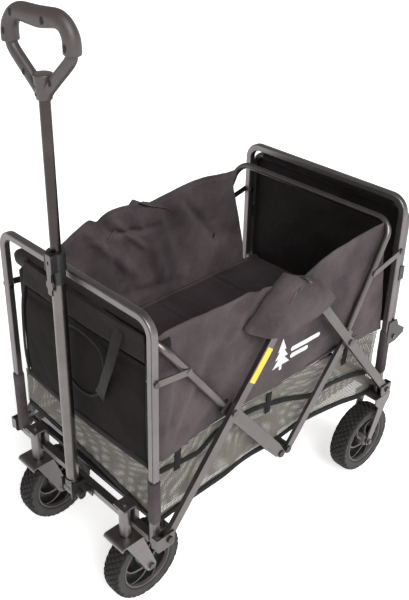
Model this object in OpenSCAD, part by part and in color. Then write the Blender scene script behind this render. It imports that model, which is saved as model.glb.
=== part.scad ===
// Folding camp wagon. +Z up, +X is the right side, -Y is the front, where the pull handle is.
// The origin is on the ground, midway between the foremost and the rearmost point.

/* [Frame] */
// Distance from the centre plane to the middle of a leg tube
half_w = 228; // [215:1:240]
// Height of the middle of the two end frames' top bars
frame_top_z = 722; // [700:1:740]
// Distance between the front and the rear frame, opened
frame_gap = 727; // [700:1:750]
// Width of the leg tube, across the wagon
tube_w = 17; // [16:0.5:18]
// Depth of the leg tube, along the wagon
tube_d = 16; // [14:0.5:16]
// Radius of the bent corners of the end frames, at the tube's middle
frame_bend_r = 33.5; // [25:0.5:45]

/* [Folding arms] */
// Angle of the long arms from the vertical, opened
arm_angle = 39; // [36:0.5:42]
// Length of a long arm between its end pivots
arm_length = 549; // [530:1:560]
// Distance from the foot pivot of a long arm to the crossing pivot
cross_dist = 276; // [260:1:290]
// Distance from the crossing pivot to the lower hub pivot
lower_dist = 273; // [260:1:280]
// Height of the foot pivots
foot_z = 224; // [220:1:230]
// Width of the long arms
arm_w = 20.6; // [18:0.2:24]
// Thickness of the long arms
arm_t = 10; // [8:0.5:10]

/* [Wheels] */
// Wheel radius
wheel_r = 89; // [80:1:95]
// Tyre width
tyre_w = 46; // [40:1:48]
// Inner radius of the tyre
tyre_inner_r = 62; // [55:1:68]
// Distance from the centre plane to the caster swivels
caster_x = 155; // [150:1:160]
// Distance of the wheel axle behind the caster swivel
caster_trail = 41.5; // [35:0.5:45]
// Distance from the centre plane to the middle of the rear wheels
rear_wheel_x = 223; // [221:1:224]

/* [Handle] */
// Radius of the outer handle tube
handle_r = 13.25; // [12:0.25:14]
// Radius of the sliding handle tube
pole_r = 10; // [9:0.25:10.5]
// Height of the top of the outer handle tube
handle_top_z = 755; // [740:1:760]
// Height of the top of the sliding handle tube, pulled out
pole_top_z = 1062; // [1040:1:1080]
// Turn of the grip about the handle tube
grip_turn = 8.75; // [0:0.25:10]

/* [Fabric] */
// Height of the tub floor
floor_z = 400; // [396:1:404]
// Height of the tub's upper edge
tub_top_z = 672; // [660:1:676]
// Thickness of the fabric panels
cloth_t = 3; // [2:0.5:4]
// Height of the lower edge of the basket's nets
net_z = 262; // [258:1:266]

/* [Hidden] */
$fn = 48;

// Overall
front_y = -62.5;
rear_y_end = 787;
mid_y = (front_y + rear_y_end) / 2;
rear_y = frame_gap;
wall = 1.5;
gap = 0.3;
fit = 0.05;
leg_inner_x = half_w - tube_w / 2;
leg_outer_x = half_w + tube_w / 2;
leg_bottom_z = 211;

// Folding arms, as points [y, z]
front_foot = [17.5, foot_z];
rear_foot = [rear_y + 3.5, foot_z];
function up(a, d) = [d * sin(a), d * cos(a)];
front_cross = front_foot + up(arm_angle, cross_dist);
rear_cross = rear_foot + up(-arm_angle, cross_dist);
front_top = front_foot + up(arm_angle, arm_length);
rear_top = rear_foot + up(-arm_angle, arm_length);
front_low = front_cross - up(-arm_angle, lower_dist);
rear_low = rear_cross - up(arm_angle, lower_dist);
hub_y = (front_top[0] + rear_top[0]) / 2;
arm_x = leg_outer_x + 3.5;
arm_pin_r = 4;
front_arch_angle = 37.3;
front_arch_h = 283;
rear_arch_angle = 28.3;
rear_arch_h = 277.7;
arch_r = 8.5;
rear_arch_r = 7.5;
flat_w = 28;
flat_t = 8;

// Short links, as points [y, z]
link_front_a = [0, 597];
link_front_b = [78, 587];
link_rear_a = [rear_y, 600];
link_rear_b = [rear_y - 95, 578.5];
link_x = leg_outer_x + 0.2;
link_t = 2;
link_w = 14;
link_pin_r = 3;

// Wheels
caster_y = -15;
sleeve_r = 12.3;
sleeve_z = [188, 262];
stem_r = 8;
fork_z = 185;
fork_t = 3;
fork_half = 31;
caster_axle_y = caster_y + caster_trail;
rear_axle_y = 681;
axle_r = 4;
hub_half = 26;

// Handle
handle_y = -29;
handle_pivot = [-30, 212];
collar_z = [713, 741, 777];
sleeve_top_r = 15.4;
clamp_r = 17;
lip_h = 2.5;
lever_x = 6;
lever_w = 16;
lever_out = 22.6;
lever_pin_z = 777;
lever_pin_r = 1.6;
grip_z = 1191;
grip_half = 70;
grip_r = 15;

// Tail frame
tail_y = rear_y + 19;
tail_r = 7;
tail_pivot_z = 366;

module placed() translate([0, -mid_y, 0]) children();

module both() {
  children();
  mirror([1, 0, 0]) children();
}

// Rounded rectangle made of true arcs
module round_rect(w, h, r) {
  square([w - 2 * r, h], center = true);
  square([w, h - 2 * r], center = true);
  for (x = [-1, 1], y = [-1, 1])
    translate([x * (w / 2 - r), y * (h / 2 - r)]) circle(r);
}

// Leg tube: x points to the outside of the frame and y to the front
module leg_profile() {
  difference() {
    round_rect(tube_w, tube_d, 3.5);
    round_rect(tube_w - 2 * wall, tube_d - 2 * wall, 2.2);
    translate([tube_w / 2 - 2.6, tube_d / 2]) square([1.6, 1.6], center = true);
  }
}

module round_tube_profile(r) {
  difference() {
    circle(r);
    circle(r - wall);
  }
}

// Upside-down U bent from one tube, standing in the XZ plane
module u_frame(half, top, bottom, bend) {
  both() {
    translate([half, 0, bottom]) linear_extrude(top - bend - bottom) mirror([0, 1, 0]) children();
    translate([half - bend, 0, top - bend])
      rotate([90, 0, 0]) rotate_extrude(angle = 90) translate([bend, 0]) children();
  }
  translate([-(half - bend), 0, top])
    rotate([180, 0, 0]) rotate([0, 90, 0]) linear_extrude(2 * (half - bend)) children();
}

// Cylinder along X from x0 to x1 at a point [y, z]
module x_rod(x0, x1, p, r) translate([x0, p[0], p[1]]) rotate([0, 90, 0]) cylinder(r = r, h = x1 - x0);

// Extrude an outline given in [y, z] along X
module x_plate(x0, x1) translate([x0, 0, 0]) rotate([90, 0, 90]) linear_extrude(x1 - x0) children();

// Flat bar between two points with round ends and a hole at each
module flat_bar(x0, x1, a, b, w, hole_r) {
  d = b - a;
  len = norm(d);
  difference() {
    x_plate(x0, x1) translate(a) rotate(atan2(d[1], d[0])) {
      translate([0, -w / 2]) square([len, w]);
      circle(w / 2);
      translate([len, 0]) circle(w / 2);
    }
    for (p = [a, b]) x_rod(x0 - 1, x1 + 1, p, hole_r);
  }
}

// Rivet or bolt along X: shaft with a round head at the outer end and a collar at the inner end
module x_pin(x0, x1, p, r, head_r, head_t, foot_t) {
  x_rod(x0, x1, p, r);
  x_rod(x1 - head_t, x1, p, head_r);
  x_rod(x0, x0 + foot_t, p, head_r);
}

// ---- front frame ----

module front_frame_tube() color("dimgray") placed() difference() {
  u_frame(half_w, frame_top_z, leg_bottom_z, frame_bend_r) leg_profile();
  both() x_rod(leg_inner_x - 2, leg_outer_x + 2, link_front_a, link_pin_r + fit);
}

module crossbar() difference() {
  translate([-leg_inner_x, -9, leg_bottom_z]) cube([2 * leg_inner_x, 18, 14]);
  translate([-leg_inner_x - 1, -9 + wall, leg_bottom_z + wall])
    cube([2 * leg_inner_x + 2, 18 - 2 * wall, 14 - 2 * wall]);
}

module front_crossbar() color("dimgray") placed() difference() {
  crossbar();
  both() translate([caster_x, caster_y, 200]) cylinder(r = sleeve_r, h = 40);
}

module caster_sleeves() color("dimgray") placed() both() translate([caster_x, caster_y, 0]) {
  difference() {
    translate([0, 0, sleeve_z[0]]) cylinder(r = sleeve_r, h = sleeve_z[1] - sleeve_z[0]);
    translate([0, 0, sleeve_z[0] - 1]) cylinder(r = stem_r + fit, h = sleeve_z[1] - sleeve_z[0] + 2);
  }
  translate([-17, 12.6, leg_bottom_z + 14]) cube([34, 11, sleeve_z[1] - leg_bottom_z - 14]);
  translate([-17, -15, sleeve_z[1]]) cube([34, 38.6, 4]);
  translate([0, 0, sleeve_z[1] + 4]) cylinder(r = 6, h = 4, $fn = 6);
}

module foot_bracket(y0, y1, z0, web_y, foot) {
  x0 = leg_outer_x + 0.1;
  difference() {
    union() {
      for (x = [x0, arm_x + arm_t + 0.4])
        x_plate(x, x + 3) {
          translate([y0, z0 + 8]) square([y1 - y0, 240 - z0 - 8]);
          translate([y0 + 8, z0]) square([y1 - y0 - 16, 9]);
          for (y = [y0 + 8, y1 - 8]) translate([y, z0 + 8]) circle(8);
        }
      translate([x0, web_y, z0 + 8]) cube([arm_x + arm_t + 3.4 - x0, 3, 240 - z0 - 8]);
    }
    x_rod(x0 - 1, x0 + 30, foot, arm_pin_r + fit);
  }
}

module front_foot_brackets() color("gray") placed() both()
  foot_bracket(-16, 30, 206, -16, front_foot);

module foot_bolt(foot, x0) {
  x1 = arm_x + arm_t + 3.4;
  x_rod(x0, x1 + 4, foot, arm_pin_r);
  x_rod(x1, x1 + 4, foot, 7.5);
}

module front_foot_bolts() color("silver") placed() both() {
  foot_bolt(front_foot, leg_outer_x - 6);
  translate([leg_outer_x - 5.6, front_foot[0], front_foot[1]])
    rotate([0, 90, 0]) cylinder(r = 7, h = 5.6, $fn = 6);
}

module front_link_pins() color("silver") placed() both()
  x_pin(leg_inner_x - 2.5, link_x + link_t + 2.2, link_front_a, link_pin_r, 6, 2.2, 2.5);

module handle_bracket() color("dimgray") placed() difference() {
  union() {
    both() {
      x_plate(16, 19) {
        translate([-46, 200]) square([34, 36]);
        translate([-38, 196]) square([26, 5]);
      }
      translate([19, -12, 205]) cube([24, 3, 20]);
      translate([34, -12, 215]) rotate([90, 0, 0]) cylinder(r = 5, h = 3, $fn = 6);
    }
    translate([-19, -12, 196]) cube([38, 3, 40]);
  }
  x_rod(-30, 30, handle_pivot, axle_r + fit);
}

module handle_pivot_bolt() color("black") placed() {
  x_rod(-23, 21, handle_pivot, axle_r);
  x_rod(-23, -19.1, handle_pivot, 7.5);
  x_rod(19.1, 34, handle_pivot, 9);
}

// ---- front fabric ----

// One stiffened sheet: the panel of the tub above and the end net of the basket below
module front_panel() color([0.2, 0.18, 0.18]) placed()
  translate([-205, 12, net_z]) cube([410, cloth_t, 636 - net_z]);

module front_leg_sleeves() color([0.2, 0.18, 0.18]) placed() both() difference() {
  translate([half_w, 0, 267]) linear_extrude(102) round_rect(tube_w + 3.4, tube_d + 3.4, 5);
  translate([half_w, 0, 266]) linear_extrude(104) square([tube_w, tube_d], center = true);
}

module tub_side() x_plate(211, 211 + cloth_t)
  polygon([[16, floor_z], [16, 600], [60, tub_top_z], [668, tub_top_z], [695, 640], [695, floor_z]]);

module tub_sides() color([0.22, 0.2, 0.2]) placed() both() tub_side();

module tub_floor() color([0.15, 0.14, 0.14]) placed()
  translate([-205, 16, floor_z - cloth_t]) cube([410, rear_y, cloth_t - gap]);

// Net basket under the tub: two side nets and a cloth bottom
module basket() color([0.6, 0.57, 0.5]) placed() {
  both() translate([211, 16, net_z]) cube([1.5, 674, 84]);
  translate([-188, 16, net_z - 6]) cube([376, 674, cloth_t]);
}

// ---- wheels ----

module tyre(x) color([0.25, 0.24, 0.23]) translate([x, 0, 0]) rotate([0, 90, 0])
  rotate_extrude($fn = 96) translate([(wheel_r + tyre_inner_r) / 2, 0])
    round_rect(wheel_r - tyre_inner_r, tyre_w, 7);

module wheel_hub(x) color([0.12, 0.12, 0.12]) translate([x, 0, 0]) rotate([0, 90, 0]) difference() {
  union() {
    difference() {
      cylinder(r = tyre_inner_r, h = tyre_w - 6, center = true, $fn = 96);
      translate([0, 0, 3]) cylinder(r = tyre_inner_r - 4, h = tyre_w, $fn = 96);
      translate([0, 0, -3 - tyre_w]) cylinder(r = tyre_inner_r - 4, h = tyre_w, $fn = 96);
    }
    cylinder(r = 15, h = 2 * hub_half, center = true);
  }
  cylinder(r = axle_r + fit, h = 3 * hub_half, center = true);
}

module caster_fork(x) color("dimgray") placed() translate([x, 0, 0]) difference() {
  union() {
    translate([-fork_half, -40, fork_z - fork_t]) cube([2 * fork_half, 46, fork_t]);
    translate([0, -40, fork_z - 8]) rotate([0, 90, 0]) difference() {
      cylinder(r = 8, h = 2 * fork_half, center = true);
      cylinder(r = 5, h = 2 * fork_half + 2, center = true);
      translate([-10, 0, -fork_half - 1]) cube([20, 12, 2 * fork_half + 2]);
      translate([0, -10, -fork_half - 1]) cube([12, 22, 2 * fork_half + 2]);
    }
    for (s = [-1, 1])
      x_plate(s * (fork_half - fork_t / 2) - fork_t / 2, s * (fork_half - fork_t / 2) + fork_t / 2) {
        polygon([[-38, fork_z], [6, fork_z], [39.2, 92], [13.8, 86]]);
        translate([caster_axle_y, wheel_r]) circle(13);
      }
  }
  x_rod(-fork_half - 1, fork_half + 1, [caster_axle_y, wheel_r], axle_r + fit);
}

module caster_stem(x) color("silver") placed() translate([x, caster_y, fork_z]) {
  cylinder(r = 13, h = 2.6);
  cylinder(r = stem_r, h = 74);
}

module axle(x, y, half) color("silver") placed() translate([x, 0, 0]) {
  x_rod(-half, half, [y, wheel_r], axle_r);
  for (s = [-1, 1])
    translate([s * (half + 2.5), y, wheel_r]) rotate([0, 90, 0]) cylinder(r = 7, h = 5, center = true, $fn = 6);
}

module right_caster_fork() caster_fork(caster_x);
module right_caster_stem() caster_stem(caster_x);
module right_caster_axle() axle(caster_x, caster_axle_y, fork_half);
module left_caster_fork() caster_fork(-caster_x);
module left_caster_stem() caster_stem(-caster_x);
module left_caster_axle() axle(-caster_x, caster_axle_y, fork_half);

module wheel_at(y) placed() translate([0, y, wheel_r]) children();

module front_right_tyre() wheel_at(caster_axle_y) tyre(caster_x);
module front_right_hub() wheel_at(caster_axle_y) wheel_hub(caster_x);
module front_left_tyre() wheel_at(caster_axle_y) tyre(-caster_x);
module front_left_hub() wheel_at(caster_axle_y) wheel_hub(-caster_x);
module rear_right_tyre() wheel_at(rear_axle_y) tyre(rear_wheel_x);
module rear_right_hub() wheel_at(rear_axle_y) wheel_hub(rear_wheel_x);
module rear_left_tyre() wheel_at(rear_axle_y) tyre(-rear_wheel_x);
module rear_left_hub() wheel_at(rear_axle_y) wheel_hub(-rear_wheel_x);

// ---- handle ----

module handle_tube() color("dimgray") placed() translate([0, handle_y, 242]) difference() {
  cylinder(r = handle_r, h = handle_top_z - 242);
  translate([0, 0, -1]) cylinder(r = handle_r - wall, h = handle_top_z - 240);
}

module handle_foot() color("silver") placed() difference() {
  union() {
    x_rod(-15.5, 15.5, handle_pivot, 14);
    translate([-12, handle_y - 12, handle_pivot[1]]) cube([24, 24, 24]);
    translate([0, handle_y, 232]) cylinder(r = 15.5, h = 10);
  }
  x_rod(-20, 20, handle_pivot, axle_r + fit);
}

// C-shaped clamp with a lip at each end, on a slit sleeve that grips the outer tube
module handle_collar() color([0.15, 0.15, 0.15]) placed() translate([0, handle_y, 0]) difference() {
  union() {
    translate([0, 0, collar_z[0]]) cylinder(r = sleeve_top_r, h = collar_z[1] - collar_z[0]);
    translate([0, 0, collar_z[1]]) cylinder(r = clamp_r, h = collar_z[2] - collar_z[1]);
    for (z = [collar_z[1], collar_z[2] - lip_h]) translate([0, 0, z]) cylinder(r = clamp_r + 1, h = lip_h);
    for (x = [-1, 1]) translate([lever_x + x * (lever_w / 2 + 1.6) - 1.2, -lever_out - 1, collar_z[1] + 2])
      cube([2.4, lever_out - 9, collar_z[2] - collar_z[1]]);
  }
  translate([0, 0, collar_z[0] - 1]) cylinder(r = handle_r, h = handle_top_z - collar_z[0] + 1);
  translate([0, 0, collar_z[0]]) cylinder(r = pole_r + fit, h = 90);
  translate([-1, -sleeve_top_r - 1, collar_z[0] - 1]) cube([2, 4, collar_z[1] - collar_z[0]]);
  x_rod(lever_x - lever_w, lever_x + lever_w, [-lever_out + 1.5, lever_pin_z], lever_pin_r + fit);
}

// Cam lever that hangs from a pin between the clamp's two ears
module handle_lever() color([0.1, 0.1, 0.1]) placed() translate([0, handle_y - lever_out + 1.5, 0]) {
  difference() {
    translate([lever_x, 2, 0]) rotate([90, 0, 0]) linear_extrude(4) difference() {
      union() {
        polygon([[-lever_w / 2, lever_pin_z], [lever_w / 2, lever_pin_z], [lever_w / 2, lever_pin_z - 26],
          [6, lever_pin_z - 44], [-6, lever_pin_z - 44], [-lever_w / 2, lever_pin_z - 26]]);
        translate([0, lever_pin_z - 61]) square([12, 40], center = true);
        translate([0, lever_pin_z - 61]) circle(10.5);
      }
      translate([0, lever_pin_z - 15]) square([4, 7], center = true);
    }
  }
  x_rod(lever_x - lever_w / 2, lever_x + lever_w / 2, [0, lever_pin_z], 2);
  x_rod(lever_x - lever_w / 2 - 3.6, lever_x + lever_w / 2 + 3.6, [0, lever_pin_z], lever_pin_r);
}

module handle_pole() color("dimgray") placed() translate([0, handle_y, 0]) difference() {
  union() {
    translate([0, 0, 500]) cylinder(r = pole_r, h = pole_top_z - 500);
    translate([0, 0, 500]) cylinder(r = handle_r - wall - fit, h = 16);
  }
  translate([0, 0, 499]) cylinder(r = pole_r - wall, h = pole_top_z - 500);
}

module at_grip() placed() translate([0, handle_y, 0]) rotate(grip_turn) children();

module grip_arch() color([0.15, 0.14, 0.14]) at_grip()
  u_frame(grip_half, grip_z, 1140, 32) circle(grip_r);

module grip_base() color([0.17, 0.16, 0.16]) at_grip() difference() {
  union() {
    both() {
      translate([9, 0, 1071]) rotate([0, 45, 0]) cylinder(r = 10, h = 81);
      translate([grip_half - 4, 0, 1128]) sphere(r = 10.9);
      translate([grip_half - 4, 0, 1128]) cylinder(r = 10.3, h = 11.8);
    }
    translate([0, 0, 1056]) cylinder(r1 = 13.5, r2 = 17.5, h = 42);
  }
  translate([0, 0, 1050]) cylinder(r = pole_r, h = pole_top_z - 1050);
}

// ---- folding arms ----

module long_arm(a, m, b) difference() {
  flat_bar(arm_x, arm_x + arm_t, a, b, arm_w, arm_pin_r + fit);
  x_rod(arm_x - 1, arm_x + arm_t + 1, m, arm_pin_r + fit);
}

module front_arms() color("gray") placed() both() long_arm(front_foot, front_cross, front_top);
module rear_arms() color("gray") placed() both() long_arm(rear_foot, rear_cross, rear_top);

module cross_pin(p) {
  x0 = leg_outer_x - flat_t - 4;
  x1 = arm_x + arm_t;
  x_rod(x0, x1 + 3, p, arm_pin_r);
  x_rod(x0, x0 + 3.7, p, 6.2);
  x_rod(leg_outer_x + gap, arm_x, p, 7);
  x_rod(x1, x1 + 3, p, 7.5);
}

module front_cross_pins() color("silver") placed() both() cross_pin(front_cross);
module rear_cross_pins() color("silver") placed() both() cross_pin(rear_cross);

// Flattened lower leg of an arch, from the crossing pivot down to the hub pivot.
// It is drawn pointing down, with its taper in the last stretch.
module flat_leg(w, thick) x_plate(leg_outer_x - thick, leg_outer_x) {
  end_r = 10.4;
  polygon([[-w / 2, 24], [w / 2, 24], [w / 2, 30 - lower_dist], [end_r - 0.4, 3 - lower_dist],
    [0.4 - end_r, 3 - lower_dist], [-w / 2, 30 - lower_dist]]);
  translate([0, -lower_dist]) circle(end_r);
}

module arch(cross, lean, height, low_lean, r, w, thick, bend) {
  difference() {
    union() {
      translate([0, cross[0], cross[1]]) rotate([lean, 0, 0])
        u_frame(leg_outer_x - r, height, 6, bend) round_tube_profile(r);
      both() translate([0, cross[0], cross[1]]) rotate([low_lean, 0, 0]) flat_leg(w, thick);
    }
    both() x_rod(leg_inner_x - 8, leg_outer_x + 2, cross, arm_pin_r + fit);
  }
}

module front_arch() color("gray") placed() difference() {
  arch(front_cross, front_arch_angle, front_arch_h, arm_angle, arch_r, flat_w, flat_t, 40);
  both() x_rod(leg_inner_x, leg_outer_x + 2, front_low, arm_pin_r + fit);
}

module rear_arch() color("gray") placed() difference() {
  arch(rear_cross, -rear_arch_angle, rear_arch_h, -arm_angle, rear_arch_r, arm_w, flat_t, 36);
  both() x_rod(leg_inner_x, leg_outer_x + 2, rear_low, arm_pin_r + fit);
}

module front_roll() color([0.2, 0.18, 0.18]) placed()
  translate([0, front_cross[0], front_cross[1]]) rotate([front_arch_angle, 0, 0])
    translate([-186, 0, front_arch_h]) rotate([0, 90, 0]) difference() {
      cylinder(r = 24, h = 372);
      translate([0, 0, -1]) cylinder(r = arch_r + gap, h = 374);
    }

// Block on two pivots, used at the top and at the bottom of the folding arms
module hub_block(x0, x1, p0, p1) x_plate(x0, x1) {
  for (p = [p0, p1]) translate(p) circle(13);
  translate([p0[0], p0[1] - 13]) square([p1[0] - p0[0], 26]);
}

module bottom_hubs() color([0.12, 0.12, 0.12]) placed() both() {
  hub_block(194, leg_outer_x - flat_t - gap, front_low, rear_low);
  for (p = [front_low, rear_low]) {
    x_rod(200, leg_outer_x + 0.4, p, arm_pin_r);
    x_rod(leg_outer_x + gap, leg_outer_x + 2.6, p, 8.5);
  }
}

module centre_frame() color("dimgray") placed() {
  both() translate([202, hub_y, front_low[1] + 13]) cylinder(r = 7.5, h = 388 - front_low[1] - 13);
  x_rod(-209.5, 209.5, [hub_y, 388], 7.5);
}

module top_hubs() color([0.12, 0.12, 0.12]) placed() both() {
  hub_block(229, arm_x - gap, front_top, rear_top);
  for (p = [front_top, rear_top]) {
    x_rod(232, arm_x + arm_t + 0.5, p, arm_pin_r);
    x_rod(arm_x + arm_t + gap, arm_x + arm_t + 2.3, p, 8);
  }
}

module side_flaps() color([0.22, 0.2, 0.2]) placed() both() x_plate(arm_x + arm_t + 3.5, arm_x + arm_t + 5.5)
  polygon([[275, 668], [410, 646], [520, 560], [502, 540], [468, 530], [356, 526], [280, 560]]);

// ---- short links ----

module short_link(a, b) {
  flat_bar(link_x, link_x + link_t, a, b, link_w, link_pin_r + fit);
  x_rod(link_x, link_x + link_t + 1, b, 5);
}

module short_links_front() color("gray") placed() both() short_link(link_front_a, link_front_b);
module short_links_rear() color("gray") placed() both() short_link(link_rear_a, link_rear_b);

// ---- rear frame ----

module rear_frame_tube() color("dimgray") placed() translate([0, rear_y, 0]) mirror([0, 1, 0]) difference() {
  u_frame(half_w, frame_top_z, leg_bottom_z, frame_bend_r) leg_profile();
  both() x_rod(leg_inner_x - 2, leg_outer_x + 2, [0, link_rear_a[1]], link_pin_r + fit);
}

module rear_crossbar() color("dimgray") placed() translate([0, rear_y, 0]) crossbar();

module rear_forks() color("dimgray") placed() both() {
  translate([192, 690, leg_bottom_z - 3]) cube([62, 57, 3]);
  for (x = [192, 251]) difference() {
    x_plate(x, x + 3) {
      polygon([[690, leg_bottom_z - 3], [747, leg_bottom_z - 3], [746, 194], [734, 180], [690.6, 86.5],
        [671.6, 92.5], [704, 180], [690, 196]]);
      translate([rear_axle_y, wheel_r]) circle(10);
    }
    x_rod(x - 1, x + 4, [rear_axle_y, wheel_r], axle_r + fit);
  }
}

module rear_axles() both() axle(rear_wheel_x, rear_axle_y, 31);

module rear_foot_brackets() color("gray") placed() both()
  foot_bracket(708, 746, leg_bottom_z, 743, rear_foot);

module rear_foot_bolts() color("silver") placed() both() foot_bolt(rear_foot, leg_outer_x + 0.2);

module rear_net() color([0.6, 0.57, 0.5]) placed()
  translate([-205, 696, net_z]) cube([410, cloth_t, 384 - net_z]);

// Cloth of the fold-down tail, stretched inside the tail frame
module tail_panel() color([0.12, 0.11, 0.11]) placed()
  translate([-half_w + tail_r + 8, tail_y - cloth_t / 2, floor_z + 2])
    cube([2 * (half_w - tail_r - 8), cloth_t, 676 - floor_z]);

module rear_link_pins() color("silver") placed() both()
  x_pin(leg_inner_x - 2.5, link_x + link_t + 2.2, link_rear_a, link_pin_r, 6, 2.2, 2.5);

// Ears on the rear legs that carry the tail frame, with a foot pedal's nose at the back
module tail_brackets() color("dimgray") placed() both() difference() {
  x_plate(leg_outer_x + 0.2, leg_outer_x + 3.2)
    polygon([[rear_y - 6, 350], [rear_y - 6, 412], [rear_y + 24, 412], [rear_y + 34, 392], [rear_y_end, 374],
      [rear_y_end, 362], [rear_y + 28, 350]]);
  x_rod(leg_outer_x - 1, leg_outer_x + 5, [tail_y, tail_pivot_z], link_pin_r + fit);
}

module tail_clips() color("black") placed() both() difference() {
  translate([half_w - 9, rear_y + tube_d / 2 + 0.2, 521]) cube([18, 17, 34]);
  translate([half_w, tail_y, 520]) cylinder(r = tail_r + gap, h = 36);
  translate([half_w - tail_r - gap, tail_y, 520]) cube([2 * (tail_r + gap), 20, 36]);
}

module tail_frame() color("dimgray") placed() difference() {
  translate([0, tail_y, 0]) u_frame(half_w, 696, tail_pivot_z - 8, 33) round_tube_profile(tail_r);
  both() x_rod(half_w - 12, half_w + 12, [tail_y, tail_pivot_z], link_pin_r + fit);
}

module tail_pins() color("silver") placed() both() {
  x_rod(half_w - 10, leg_outer_x + 6, [tail_y, tail_pivot_z], link_pin_r);
  x_rod(half_w - 10, half_w - tail_r - gap, [tail_y, tail_pivot_z], 6);
  x_rod(leg_outer_x + 3.5, leg_outer_x + 6, [tail_y, tail_pivot_z], 6);
}

front_frame_tube();
front_crossbar();
caster_sleeves();
front_foot_brackets();
front_foot_bolts();
front_link_pins();
handle_bracket();
handle_pivot_bolt();
front_panel();
front_leg_sleeves();
tub_sides();
tub_floor();
basket();
right_caster_fork();
right_caster_stem();
right_caster_axle();
left_caster_fork();
left_caster_stem();
left_caster_axle();
front_right_tyre();
front_right_hub();
front_left_tyre();
front_left_hub();
rear_right_tyre();
rear_right_hub();
rear_left_tyre();
rear_left_hub();
handle_tube();
handle_foot();
handle_collar();
handle_lever();
handle_pole();
grip_arch();
grip_base();
front_arms();
front_cross_pins();
front_arch();
front_roll();
bottom_hubs();
centre_frame();
rear_arch();
top_hubs();
side_flaps();
rear_arms();
rear_cross_pins();
short_links_front();
short_links_rear();
rear_frame_tube();
rear_crossbar();
rear_forks();
rear_axles();
rear_foot_brackets();
rear_foot_bolts();
rear_link_pins();
rear_net();
tail_panel();
tail_brackets();
tail_clips();
tail_frame();
tail_pins();
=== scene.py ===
"""Looks of the folding camp wagon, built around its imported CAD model.

Lengths are in millimetres in the helper point(): X from the centre plane, Y from the front frame's
plane towards the rear, Z from the ground. Blender gets metres.
"""
import math

import bpy
from mathutils import Matrix, Vector, noise
from mathutils.bvhtree import BVHTree


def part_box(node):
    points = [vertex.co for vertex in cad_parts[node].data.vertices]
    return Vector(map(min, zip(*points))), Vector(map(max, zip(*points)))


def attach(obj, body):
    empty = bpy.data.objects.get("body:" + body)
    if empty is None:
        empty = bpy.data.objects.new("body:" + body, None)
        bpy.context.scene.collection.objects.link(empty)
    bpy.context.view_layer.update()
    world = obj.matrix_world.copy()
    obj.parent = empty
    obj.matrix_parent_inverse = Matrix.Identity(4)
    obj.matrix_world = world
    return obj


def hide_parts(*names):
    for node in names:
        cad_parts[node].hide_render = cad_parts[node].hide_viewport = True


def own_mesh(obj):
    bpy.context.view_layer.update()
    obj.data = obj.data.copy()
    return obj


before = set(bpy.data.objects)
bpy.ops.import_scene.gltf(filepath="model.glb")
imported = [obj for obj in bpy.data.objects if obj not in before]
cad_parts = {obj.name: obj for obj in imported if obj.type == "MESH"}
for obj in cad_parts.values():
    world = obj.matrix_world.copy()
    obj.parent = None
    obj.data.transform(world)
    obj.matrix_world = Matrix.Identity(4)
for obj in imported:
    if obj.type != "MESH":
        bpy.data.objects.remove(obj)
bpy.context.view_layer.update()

MM = 0.001


def middle(node, axis):
    low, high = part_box(node)
    return (low[axis] + high[axis]) / 2


FRONT_Y = middle("front_frame_tube", 1)
REAR_Y = middle("rear_frame_tube", 1)
GAP = (REAR_Y - FRONT_Y) / MM
HALF_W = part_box("front_crossbar")[1][0] / MM
WHEEL_R = (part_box("front_right_tyre")[1][2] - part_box("front_right_tyre")[0][2]) / 2 / MM
TYRE_HALF = (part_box("front_right_tyre")[1][0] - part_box("front_right_tyre")[0][0]) / 2 / MM
HUB_Y = (middle("top_hubs", 1) - FRONT_Y) / MM
HUB_TOP_Z = middle("top_hubs", 2) / MM
FLOOR_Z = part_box("tub_floor")[1][2] / MM
SIDE_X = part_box("tub_sides")[1][0] / MM


def point(x, y, z):
    return Vector((x * MM, y * MM + FRONT_Y, z * MM))


def smooth(a, b, t):
    t = min(max((t - a) / (b - a), 0.0), 1.0)
    return t * t * (3 - 2 * t)


def mix(a, b, t):
    return a + (b - a) * t


def curve_value(points, t):
    """Smooth curve through (position, value) pairs that are sorted by position."""
    if t <= points[0][0]:
        return points[0][1]
    for k in range(len(points) - 1):
        a, b = points[k], points[k + 1]
        if t <= b[0]:
            before = points[max(k - 1, 0)]
            after = points[min(k + 2, len(points) - 1)]
            s = (t - a[0]) / (b[0] - a[0])
            m0 = (b[1] - before[1]) / max(b[0] - before[0], 1e-6) * (b[0] - a[0])
            m1 = (after[1] - a[1]) / max(after[0] - a[0], 1e-6) * (b[0] - a[0])
            return ((2 * s**3 - 3 * s**2 + 1) * a[1] + (s**3 - 2 * s**2 + s) * m0
                    + (3 * s**2 - 2 * s**3) * b[1] + (s**3 - s**2) * m1)
    return points[-1][1]


def wobble(x, y, z, scale, seed=0.0):
    """Smooth noise from -1 to 1; scale is the size of a bump in millimetres."""
    return noise.noise(Vector((x / scale + seed, y / scale + 1.7 * seed, z / scale - seed)))


# ---- mesh helpers ----

def new_mesh(name, verts, faces, material, uvs=None, smooth_shade=True):
    mesh = bpy.data.meshes.new(name)
    mesh.from_pydata([tuple(v) for v in verts], [], faces)
    mesh.materials.append(material)
    if smooth_shade:
        mesh.polygons.foreach_set("use_smooth", [True] * len(mesh.polygons))
    if uvs:
        layer = mesh.uv_layers.new(name="cloth")
        for loop in mesh.loops:
            layer.data[loop.index].uv = uvs[loop.vertex_index]
    mesh.update()
    obj = bpy.data.objects.new(name, mesh)
    bpy.context.scene.collection.objects.link(obj)
    return obj


def thicken(obj, mm, offset=0.0):
    mod = obj.modifiers.new("thickness", "SOLIDIFY")
    mod.thickness = mm * MM
    mod.offset = offset
    return obj


def bevel(obj, mm=0.8, segments=2, angle=35):
    mod = obj.modifiers.new("edges", "BEVEL")
    mod.width = mm * MM
    mod.segments = segments
    mod.limit_method = "ANGLE"
    mod.angle_limit = math.radians(angle)
    return obj


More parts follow.
